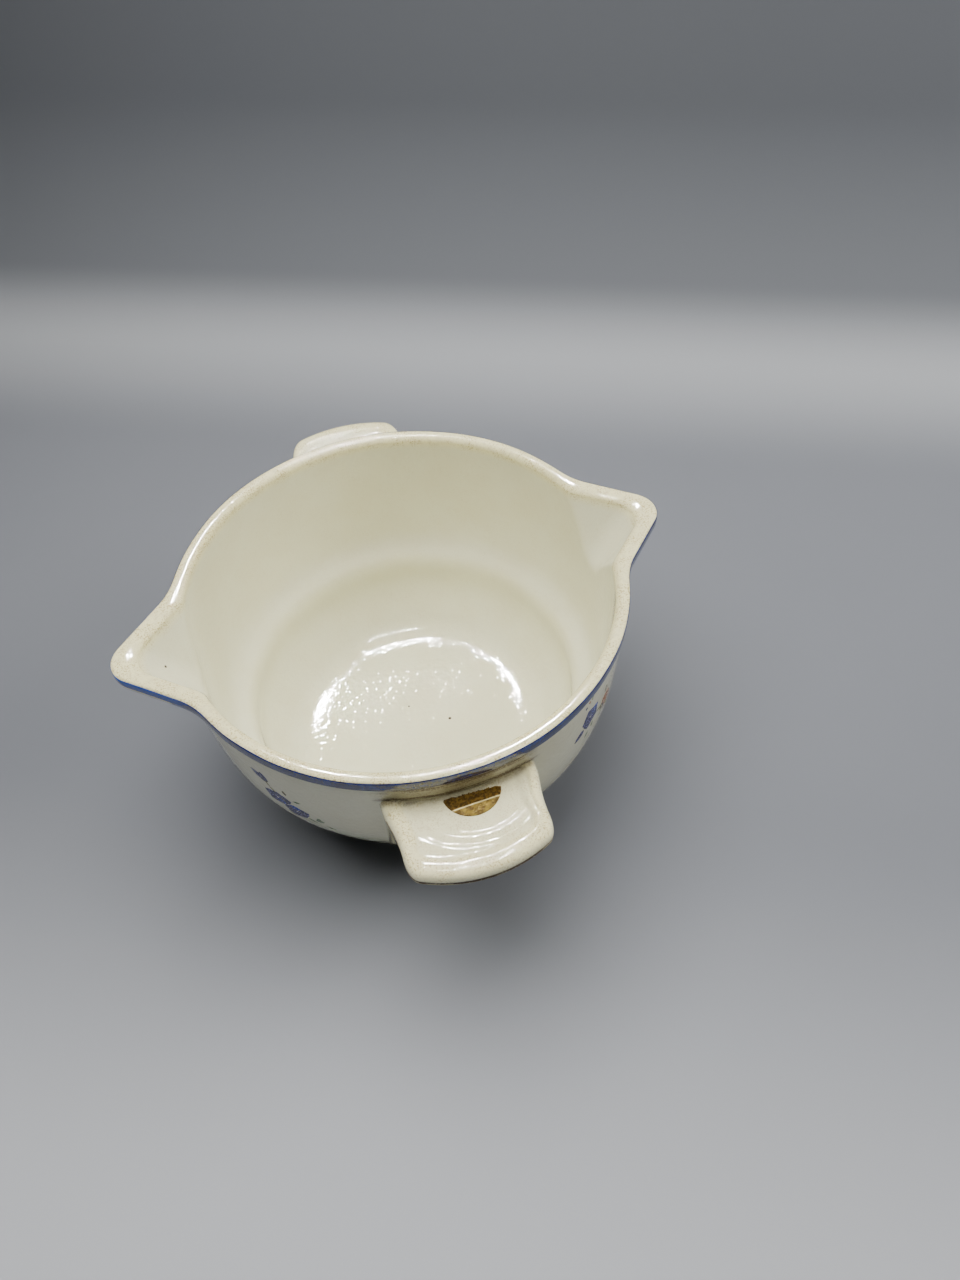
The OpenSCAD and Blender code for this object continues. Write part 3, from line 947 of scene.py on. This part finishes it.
def add_lamps(name, place, power, columns, rows):
    """A panel of small lamps that only makes highlights."""
    light = add_light(name, place, (place[0], place[1], 0), power * columns * rows,
                      (LAMP_PITCH * columns, LAMP_PITCH * rows))
    light.visible_glossy, light.visible_diffuse = True, False
    light.data.use_nodes = True
    g = Graph(light.data.node_tree)
    spot = g.node("NewGeometry", {}, "Position")
    spot = g.node("VectorMath", {0: spot, "Scale": 1 / MM / LAMP_PITCH}, 0, operation="SCALE")
    across = g.math("PINGPONG", g.node("SeparateXYZ", {"Vector": spot}, "X"), 0.5)
    along = g.math("PINGPONG", g.node("SeparateXYZ", {"Vector": spot}, "Y"), 0.5)
    lit = g.math("GREATER_THAN", g.math("MINIMUM", across, along), LAMP_EDGE)
    g.join(light.data.node_tree.nodes["Emission"].inputs["Strength"], lit)


def add_lights():
    """Soft panels above and beside, and the lamps that show in the glaze."""
    world = bpy.data.worlds.new("studio")
    world.use_nodes = True
    world.node_tree.nodes["Background"].inputs["Color"].default_value = (0.9, 0.95, 1.0, 1)
    world.node_tree.nodes["Background"].inputs["Strength"].default_value = 0.025
    bpy.context.scene.world = world
    add_light("key", (-40, 80, 620), (-10, 20, 0), 3.5, (560, 460), 120)
    add_light("front", (160, -320, 600), (160, -330, 0), 0.15, (760, 160), 60)
    add_light("side", (560, -80, 440), (200, -60, 20), 3.2, (300, 300))
    add_lamps("lamps_right", (104, 276, 500), 0.75, 7, 4)
    add_lamps("lamps_left", (-4, 290, 500), 0.9, 2, 7)
    add_lamps("lamps_middle", (43, 222, 500), 0.9, 5, 1)
    add_lamps("lamps_above", (30, 40, 520), 0.4, 12, 1)


# ---- the scene --------------------------------------------------------------------
def dirt_and_shade_near_handles(points):
    """Dirt mixed with painted shade on the wall above each handle: a dark crease in the corner
    where the handle meets the wall, then a film, then a dark streak just under the bead.
    """
    crease_z, streak_z = 76.9, 82.2
    dirt_and_shade = np.zeros(len(points))
    for turn, strength in ((FRONT_TURN, 1.0), (BACK_TURN, 0.5)):
        x, y, z = turned(points, -turn).T
        beside = 1 - smooth_step(np.abs(y), 19, 25)
        middle = 1 - smooth_step(np.abs(y - 5), 9, 20)
        # The crease and the streak are painted shade in the corner and under the bead, with some
        # dirt.
        crease = 2.2 * np.exp(-((z - crease_z) / 0.6) ** 2)
        streak = (0.4 + 0.9 * middle) * np.exp(-((z - streak_z) / 1.2) ** 2)
        film = 0.75 * smooth_step(z, 76, 77) * (1 - smooth_step(z, 83, 84.4))
        outside = (np.hypot(x, y) > 69.5) & (x > 0)
        dirt_and_shade = np.maximum(dirt_and_shade, strength * beside * outside * (film + crease + streak))
    return np.minimum(dirt_and_shade, 1.4)


def shade_glaze(piece, dirt_and_shade):
    """Marks a glazed piece's grime with its painted shade, and its rim, where the glaze runs thin
    and is painted lighter, partly as a highlight.
    """
    points = points_mm(piece)
    shade(piece, "dirt_and_shade", dirt_and_shade)
    # The top of the rim is painted lighter, partly thin glaze and partly a painted highlight.
    shade(piece, "thin", smooth_step(points[:, 2], RIM_Z - 5, RIM_Z - 1.5))


add_camera()
turns, grid, cut_out, cut_in = dish_grid()
normals = grid_normals(grid)
white = glaze("cream_glaze")
right_lip, left_lip = lip_columns(turns, 0.0), lip_columns(turns, math.pi)
bowl = bowl_piece("glazed_bowl", grid, normals, (right_lip, left_lip), cut_out, cut_in, white)
shade_glaze(bowl, dirt_and_shade_near_handles(points_mm(bowl)))
for name, node, columns in (("pouring_lip_right", "spout_right", right_lip),
                            ("pouring_lip_left", "spout_left", left_lip)):
    lip = lip_piece(name, node, grid, normals, columns, cut_out, cut_in, white)
    shade_glaze(lip, np.zeros(len(lip.data.vertices)))
foot_piece(biscuit())
line = line_piece(cobalt())
shade(line, "bright", smooth_step(-points_mm(line)[:, 0], 68, 76) * 0.8)
for name, node, reach, turn, shape in (
        ("grip_front", "handle_front", FRONT_REACH, FRONT_TURN, (41, -0.8, 0.035, 5)),
        ("grip_back", "handle_back", BACK_REACH, BACK_TURN, (44, 1.2, -0.05, 9))):
    grip = handle_piece(name, node, reach, turn, shape, white)
    x, y, z = turned(points_mm(grip), -turn).T
    # Darker where the handle meets the wall, dirt with painted shade in that corner; a dark line
    # along the groove of the front edge; and a little darker below the top edge.
    crease = (1 - smooth_step(np.hypot(x, y), 72.2, 74.2)) * smooth_step(z, HANDLE_Z - 4, HANDLE_Z)
    seam = 1.5 * np.exp(-((z - HANDLE_Z + 3.7) / 0.4) ** 2)
    side = 0.12 * smooth_step(-z, 1.5 - HANDLE_Z, 3 - HANDLE_Z)
    shade(grip, "dirt_and_shade", np.maximum(0.8 * crease, (side + seam) * (x > 72.5)))
    # The raised border is painted lighter than the rest of the handle, partly thin glaze and
    # partly a painted highlight.
    border = smooth_step(z, HANDLE_Z - BORDER_RISE, HANDLE_Z - 0.2)
    shade(grip, "thin", 0.45 + 0.5 * border)
foil_piece(gold_foil())
paints = [enamel(f"sprig_{name}", thick, thin) for name, (thick, thin) in PAINTS.items()]
blue_sprig(-138, 60).piece("sprig_front_left", "spray_front_left", paints)
mixed_sprig(-54, 68).piece("sprig_front_right", "spray_front_right", paints)
blue_sprig(42, 60).piece("sprig_back_right", "spray_back_right", paints)
mixed_sprig(134, 66).piece("sprig_back_left", "spray_back_left", paints)

add_floor()
add_lights()
